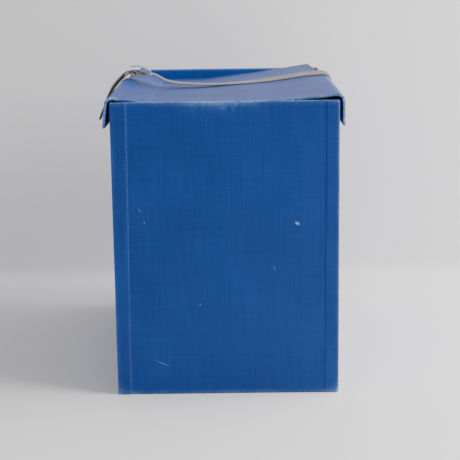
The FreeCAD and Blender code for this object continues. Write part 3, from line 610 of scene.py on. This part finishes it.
lid_shell, lip_rows = Sheet(), {}
lid_shell.grid(np.stack([GX, GY, GZ], 2), GX, GY, lid_wear)
for side, sign in (("left", -1), ("right", 1)):
    column = 0 if sign < 0 else -1
    lip_ys = np.concatenate([[LIP_FRONT + LID_INSET, LIP_FRONT + 2.2 * MM], ys[ys <= LIP_REAR + 1e-9]])
    tops = np.interp(lip_ys, ys, GZ[:, column])
    edges = np.interp(lip_ys, ys, np.abs(GX[:, column]))
    points = np.zeros((len(lip_ys), LIP_POINTS, 3))
    for i, (y, edge, top) in enumerate(zip(lip_ys, edges, tops)):
        line = lip_line(sign, y, edge, top)
        sway = 0.5 * MM * math.sin(y * 38 + sign) * np.linspace(0, 1, LIP_POINTS) ** 2
        sway = sway * smooth_step(np.array(LIP_STRAIGHT - y), 0, 30 * MM)
        points[i] = np.stack([line[:, 0] + sign * sway, np.full(LIP_POINTS, y), line[:, 1]], 1)
    lengths = np.linspace(0, LIP_LENGTH, LIP_POINTS)
    shoulder = np.exp(-((lengths - 6 * MM) / (4 * MM)) ** 2) * 0.5
    foot = np.exp(-(lengths[-1] - lengths) / (1.8 * MM))
    ends = np.exp(-(lip_ys - lip_ys[0]) / (1.6 * MM)) + np.exp(-(lip_ys[-1] - lip_ys) / (1.6 * MM))
    patchy = 0.45 + 0.55 * waves(lip_ys[:, None], lengths[None, :], 12 + sign, 0.03)
    wear = np.clip((shoulder[None, :] + foot[None, :] + ends[:, None]) * patchy, 0, 1)
    lid_shell.grid(points, sign * (LID_EDGE + lengths)[None, :], lip_ys[:, None], wear, flip=sign < 0)
    lip_rows[sign] = points

LID_THICK = 2.9 * MM                 # cloth and board together

lid_cloth = lid_shell.build("lid_cloth", "lid", [cloth_lid])
thicken(lid_cloth, LID_THICK, LID_INSET)
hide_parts("lid_cover", "left_lip_cover", "right_lip_cover")

# ------------------------------------------------------------------- pieces of the lid


def inner_sheet(name, inset, drop, thickness, material, slot_name, *nodes):
    """A sheet that lies under the lid's face: drop below it, square to it, and inset from its edges."""
    rows = (GY[:, 0] > LID_FRONT + inset) & (GY[:, 0] < LID_REAR - inset)
    l, r = lid_edges(GY[rows, 0])
    x = (l + inset)[:, None] + (r - l - 2 * inset)[:, None] * ts[None, :]
    y = GY[rows, :1] * np.ones_like(x)
    sheet = Sheet()
    h = 0.5 * MM
    slope_x = (lid_height(x + h, y) - lid_height(x - h, y)) / (2 * h)
    slope_y = (lid_height(x, y + h) - lid_height(x, y - h)) / (2 * h)
    z = lid_height(x, y) - drop * np.sqrt(1 + slope_x ** 2 + slope_y ** 2)
    sheet.grid(np.stack([x, y, z], 2), x, y, 0.0)
    obj = sheet.build(name, "lid", [material])
    thicken(obj, thickness, min(0.1 * MM, thickness / 4), segments=1)
    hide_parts(*nodes)
    return obj


STIFFENER = 1.9 * MM                 # board inside the lid and its lips, clear of their faces
inner_sheet("lid_stiffener", 1.5 * MM, CLOTH, STIFFENER, board_grey, "board", "lid_board")
inner_sheet("lid_lining_sheet", 6 * MM, LID_THICK + 0.05 * MM, 0.25 * MM, lining_cream, "lining_paper",
            "lid_lining")

for side, sign in (("left", -1), ("right", 1)):
    shell = lip_rows[sign]
    inner = shell[2:-1, 6:-2].copy()
    inner[:, :, 0] -= sign * CLOTH
    stiff = Sheet()
    stiff.grid(inner, inner[:, :, 2], inner[:, :, 1], 0.0, flip=sign < 0)
    obj = stiff.build(side + "_lip_stiffener", "lid", [board_grey])
    thicken(obj, STIFFENER)
    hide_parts(side + "_lip_board")

# ------------------------------------------------------------------- the cloth hinge

wall_leaf_low, wall_leaf_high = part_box("hinge_wall_leaf")
lid_leaf_low, lid_leaf_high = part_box("hinge_lid_leaf")
hinge_columns = np.linspace(lid_leaf_low.x + 3 * MM, lid_leaf_high.x - 3 * MM, 90)
wall_y = (wall_leaf_low.y + wall_leaf_high.y) / 2 - 0.1 * MM
HINGE_SHEET = 0.4 * MM
HINGE_DROP = 3.4 * MM                # from the lid's face down past its board and lining to the flap
drop_y = LID_REAR + 0.45 * MM
fold_r = (wall_y - drop_y) / 2
top = HEIGHT - HINGE_SHEET - fold_r
hinge_rows = []
for x in hinge_columns:
    under = float(lid_height(np.array([x]), np.array([LID_REAR]))[0]) - HINGE_DROP
    foot = min(under + 0.3 * MM, top - 0.6 * MM)
    line = [(wall_y, z) for z in np.linspace(wall_leaf_low.z, top, 16)]
    line += [((wall_y + drop_y) / 2 + fold_r * math.cos(a), top + fold_r * math.sin(a))
             for a in np.linspace(0, math.pi, 11)[1:-1]]
    line += [(drop_y, z) for z in np.linspace(top, foot, 9)]
    line += [(drop_y - 0.8 * MM, under - 0.15 * MM), (drop_y - 2.5 * MM, under - 0.25 * MM)]
    for d in (6 * MM, 10 * MM, 15 * MM):
        z = float(lid_height(np.array([x]), np.array([LID_REAR - d]))[0])
        line.append((drop_y - d, z - HINGE_DROP - 0.15 * MM))
    hinge_rows.append([(x, y, z) for y, z in line])
hinge_points = np.array(hinge_rows)
hinge_middle = hinge_points[len(hinge_points) // 2]
hinge_lengths = np.concatenate([[0], np.cumsum(np.linalg.norm(np.diff(hinge_middle, axis=0), axis=1))])
fold_at = np.exp(-((hinge_points[:, :, 2] - HEIGHT) / (1.2 * MM)) ** 2)
hinge_wear = 0.35 * fold_at * (0.3 + 0.7 * waves(hinge_points[:, :, 0], hinge_points[:, :, 2], 3, 0.03))
hinge = Sheet()
hinge.grid(hinge_points, hinge_columns[:, None], hinge_lengths[None, :], hinge_wear, flip=True)
hinge_cloth = hinge.build("hinge_cloth", None, [cloth_hinge])
thicken(hinge_cloth, HINGE_SHEET)
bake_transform(hinge_cloth)
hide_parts("hinge_wall_leaf", "hinge_lid_leaf")

# --------------------------------------------------------------------- the two straps


def strap(name, points, sway=0.0, seed=1):
    """Flat webbing along a line (x, z, roll) in millimetres and degrees: crowned, with soft selvedges."""
    line = through([(x, roll, z) for x, z, roll in points], 1.5 * MM)
    roll = np.radians(line[:, 1] / MM)[:, None]
    line[:, 1] = 0
    tangent = np.gradient(line, axis=0)
    tangent /= np.linalg.norm(tangent, axis=1)[:, None]
    level = np.array([[0.0, 1.0, 0.0]])
    under = np.cross(tangent, level)
    across = level * np.cos(roll) + under * np.sin(roll)
    normal = under * np.cos(roll) - level * np.sin(roll)
    lengths = np.concatenate([[0], np.cumsum(np.linalg.norm(np.diff(line, axis=0), axis=1))])
    angles = np.linspace(0, math.tau, 29)
    c, s = np.cos(angles), np.sin(angles)
    wide = np.sign(c) * np.abs(c) ** 0.42 * STRAP_W / 2
    thick = np.sign(s) * np.abs(s) ** 0.62 * STRAP_T / 2
    between_ends = np.sin(np.clip(lengths / lengths[-1], 0, 1) * math.pi)
    drift = sway * (waves(lengths, np.zeros_like(lengths), seed, 0.12) - 0.5) * between_ends
    middle = line[:, None, :] + level * (STRAP_Y + drift)[:, None, None]
    grid = middle + across[:, None, :] * wide[None, :, None] + normal[:, None, :] * thick[None, :, None]
    web = Sheet()
    edge = smooth_step(np.abs(wide), STRAP_W / 2 - 1.1 * MM, STRAP_W / 2 - 0.2 * MM)
    # On the cloth map the underside follows the top, both moved clear of zero.
    around = np.concatenate([wide[:15], 2 * wide[14] - wide[15:]]) + 20 * MM
    web.grid(grid, around[None, :], lengths[:, None], edge[None, :])
    for row, length, flip in ((grid[0], 0.0, True), (grid[-1], lengths[-1], False)):
        centre = row[:-1].mean(axis=0)
        cap = np.stack([row * 0.0 + centre, centre + (row - centre) * 0.98, row])
        web.grid(cap, wide[None, :], length, 0.7, flip=flip)
    obj = web.build(name, "lid", [webbing])
    return obj, float(lengths[-1])


LONG_LINE = [
    # up the right lip, over its shoulder and onto the lid
    (129.8, 304, 0), (129.8, 318, 0), (129.8, 330, 0), (129.3, 334.3, -2), (127.9, 337.4, -4),
    (125.4, 340.0, -6), (122.4, 341.6, -8), (118.5, 342.2, -9),
    # across the lid
    (108, 341.5, -9), (95, 340.3, -9), (78, 337.7, -9), (60, 335.2, -8), (38, 332.5, -5),
    (15, 330.5, -2), (-8, 329.4, 0), (-30, 329.5, 0), (-52, 330.9, 0), (-66, 332.9, 0),
    # up to the buckle and through it
    (-74, 335.3, 0), (-81, 339.2, 0), (-86.5, 342.1, 0), (-91, 342.8, 0), (-96, 342.75, 0),
    (-101, 343.3, 0), (-106, 345.0, 0), (-110.5, 346.7, 1), (-114.5, 347.2, 2), (-118.3, 346.9, 3),
    # the tail
    (-122, 345.3, 5), (-126.5, 341.4, 8), (-132.5, 334.8, 10), (-138.2, 327.2, 10), (-142.2, 319.5, 9),
    (-145.9, 311.5, 7), (-149.6, 303, 5), (-153.0, 295.3, 4), (-155.8, 288, 3),
]
long_strap, long_length = strap("strap_webbing", LONG_LINE, sway=1.2 * MM, seed=4)
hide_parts("long_strap")

BUCKLE_LINE = [
    # up the left lip, bowed out from it
    (-129.8, 304, 0), (-129.8, 310, 0), (-129.8, 315.2, 0), (-131.2, 317.6, 0), (-134.6, 319.4, 2),
    (-137.4, 321.4, 3), (-138, 323.8, 4), (-136.6, 326.8, 4), (-133.8, 330.2, 4), (-130.6, 333.8, 3),
    (-126, 338.0, 2), (-121.5, 342.0, 0),
    # folded round the bar
    (-118.2, 344.4, 0), (-114, 345.15, 0), (-112.3, 344.45, 0), (-111.65, 342.8, 0),
    (-112.3, 341.15, 0), (-114, 340.45, 0), (-115.6, 340.4, 0),
]
buckle_strap, buckle_length = strap("buckle_webbing", BUCKLE_LINE, seed=9)
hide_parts("buckle_strap")

# ---------------------------------------------------------------- the CAD's own pieces


def finish_node(name, material, bevel=0.0):
    """A CAD node keeps its shape and gets its material, and a fine bevel where it has edges."""
    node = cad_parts[name]
    node.data.materials.clear()
    node.data.materials.append(material)
    if bevel:
        weld = node.modifiers.new("weld", "WELD")
        weld.merge_threshold = 0.005 * MM
        rounded = node.modifiers.new("edges", "BEVEL")
        rounded.width, rounded.segments, rounded.limit_method = bevel, 2, "ANGLE"
        rounded.angle_limit = math.radians(40)


for name in ("base_board", "front_board", "back_board", "left_board", "right_board"):
    finish_node(name, board_grey)
for name in ("base_lining", "front_lining", "back_lining", "left_lining", "right_lining"):
    finish_node(name, lining_cream)
finish_node("corner_tapes", tape_white)
for name in ("buckle_frame", "buckle_lever"):
    finish_node(name, nickel, 0.18 * MM)
finish_node("buckle_bar", nickel, 0.2 * MM)
finish_node("lever_pin", brass, 0.2 * MM)
for name in ("left_washer", "right_washer"):
    finish_node(name, brass, 0.12 * MM)

base_low, base_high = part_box("base_cover")
base = Sheet()
gap = UNDER + BASE_SHEET - CLOTH
bx, by = np.meshgrid(np.linspace(base_low.x + gap, base_high.x - gap, 24),
                     np.linspace(base_low.y + gap, base_high.y - gap, 32))
bz = np.full_like(bx, FOOT + 0.03 * MM)
base.grid(np.stack([bx, by, bz], 2), bx, by, 0.25 * waves(bx, by, 5, 0.05), flip=True)
base_cloth = base.build("base_cloth", "box", [cloth_walls])
thicken(base_cloth, BASE_SHEET, 0.1 * MM, segments=1)
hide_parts("base_cover")


def dome_rivet(side):
    """A rivet with a domed head and a waisted neck, turned about its own axis along X."""
    low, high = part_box(side + "_rivet")
    sign = -1 if side == "left" else 1
    centre = (low + high) / 2
    radius, neck = (high.z - low.z) / 2, 1.45 * MM
    head = high.x if sign > 0 else -low.x
    tail = low.x if sign > 0 else -high.x
    # The head's outline: millimetres below its top, and share of its radius.
    dome = [(0.0, 0.0), (0.02, 0.3), (0.16, 0.6), (0.42, 0.85), (0.72, 0.985), (0.9, 1.0), (0.98, 0.97),
            (1.0, 0.45)]
    section = [(head - depth * MM, share * radius) for depth, share in dome]
    section += [(head - 1.1 * MM, neck), (tail + 0.3 * MM, neck), (tail + 0.05 * MM, 1.3 * MM), (tail, 0.0)]
    angles = np.linspace(0, math.tau, 41)
    rows = np.array([[(sign * x, centre.y + r * math.cos(a), centre.z + r * math.sin(a)) for a in angles]
                     for x, r in section])
    turned = Sheet()
    turned.grid(rows, 0.0, 0.0, 0.0, flip=sign > 0)
    obj = turned.build(side + "_dome_rivet", "lid", [brass], weld=0.005 * MM)
    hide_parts(side + "_rivet")


dome_rivet("left")
dome_rivet("right")

# ---------------------------------------------------------------- camera, stage, light

# The camera comes from a perspective fit of the box's corners and rim, for a depth of 380 mm.
FOCAL, SENSOR = 101.9, 36            # in millimetres
PLACE = (0.0108, -1.5918, 0.4989)
PITCH, YAW, ROLL = math.radians(12.43), math.radians(-0.27), math.radians(-0.76)
forward = Vector((math.sin(YAW) * math.cos(PITCH), math.cos(YAW) * math.cos(PITCH), -math.sin(PITCH)))
level = Vector((math.cos(YAW), -math.sin(YAW), 0))
upright = level.cross(forward)
right_axis = math.cos(ROLL) * level + math.sin(ROLL) * upright
up_axis = -math.sin(ROLL) * level + math.cos(ROLL) * upright
camera_data = bpy.data.cameras.new("camera")
camera_data.lens, camera_data.sensor_width = FOCAL, SENSOR
camera = bpy.data.objects.new("camera", camera_data)
bpy.context.scene.collection.objects.link(camera)
camera.matrix_world = Matrix((right_axis, up_axis, -forward)).transposed().to_4x4()
camera.location = PLACE
bpy.context.scene.camera = camera

pale = Material("pale_paint")
spread = pale.node("TexCoord").outputs["Object"]
cloudy = pale.noise(spread, 1.4, 3)
grain = pale.noise(spread, 260, 3)
paint = pale.mix(pale.remap(cloudy, 0.3, 0.7), (0.79, 0.775, 0.785, 1), (0.83, 0.818, 0.825, 1))
pale.set(Base_Color=paint, Roughness=0.62, Normal=pale.bump(grain, 0.05 * MM, 0.2))

# The backdrop is seen from inside only, so that it never stands in front of the object.
from_behind = pale.node("NewGeometry").outputs["Backfacing"]
outside = pale.node("BsdfTransparent").outputs[0]
one_sided = pale.node("MixShader", {0: from_behind, 1: pale.shader.outputs[0], 2: outside})
pale.tree.links.new(one_sided.outputs[0], pale.tree.nodes["Material Output"].inputs["Surface"])

COVE = 0.022                         # the radius between the floor and the wall
WALL_Y = 0.335
STAGE_REACH, STAGE_TOP = 3.2, 2.6
profile = [(-STAGE_REACH, 0.0), (-1.2, 0.0), (WALL_Y - COVE, 0.0)]
profile += [(WALL_Y - COVE + COVE * math.sin(a), COVE * (1 - math.cos(a)))
            for a in np.linspace(0, math.pi / 2, 9)[1:]]
profile += [(WALL_Y, 0.6), (WALL_Y, STAGE_TOP)]
stage_points = np.array([[(x, y, z) for x in (-STAGE_REACH, -1, 1, STAGE_REACH)] for y, z in profile])
backdrop = Sheet()
backdrop.grid(stage_points, 0.0, 0.0, 0.0)
stage = backdrop.build("backdrop", None, [pale.material])


def area_light(name, place, target, size, power, colour):
    data = bpy.data.lights.new(name, "AREA")
    data.shape, data.size, data.size_y = "RECTANGLE", *size
    data.energy, data.color = power, colour
    light = bpy.data.objects.new(name, data)
    bpy.context.scene.collection.objects.link(light)
    light.location = place
    light.visible_camera = False
    light.rotation_euler = (Vector(target) - Vector(place)).to_track_quat("-Z", "Y").to_euler()


area_light("window", (1.75, -0.35, 1.25), (0, 0.1, 0.15), (1.5, 1.5), 106, (1.0, 0.985, 0.97))
area_light("bounce", (-0.6, -2.4, 1.8), (0, 0, 0.15), (2.4, 2.0), 7, (0.97, 0.98, 1.0))
world = bpy.data.worlds.new("soft_world")
bpy.context.scene.world = world
world.use_nodes = True
sky = world.node_tree.nodes["Background"]
sky.inputs["Color"].default_value = (0.93, 0.95, 1.0, 1)
sky.inputs["Strength"].default_value = 0.56
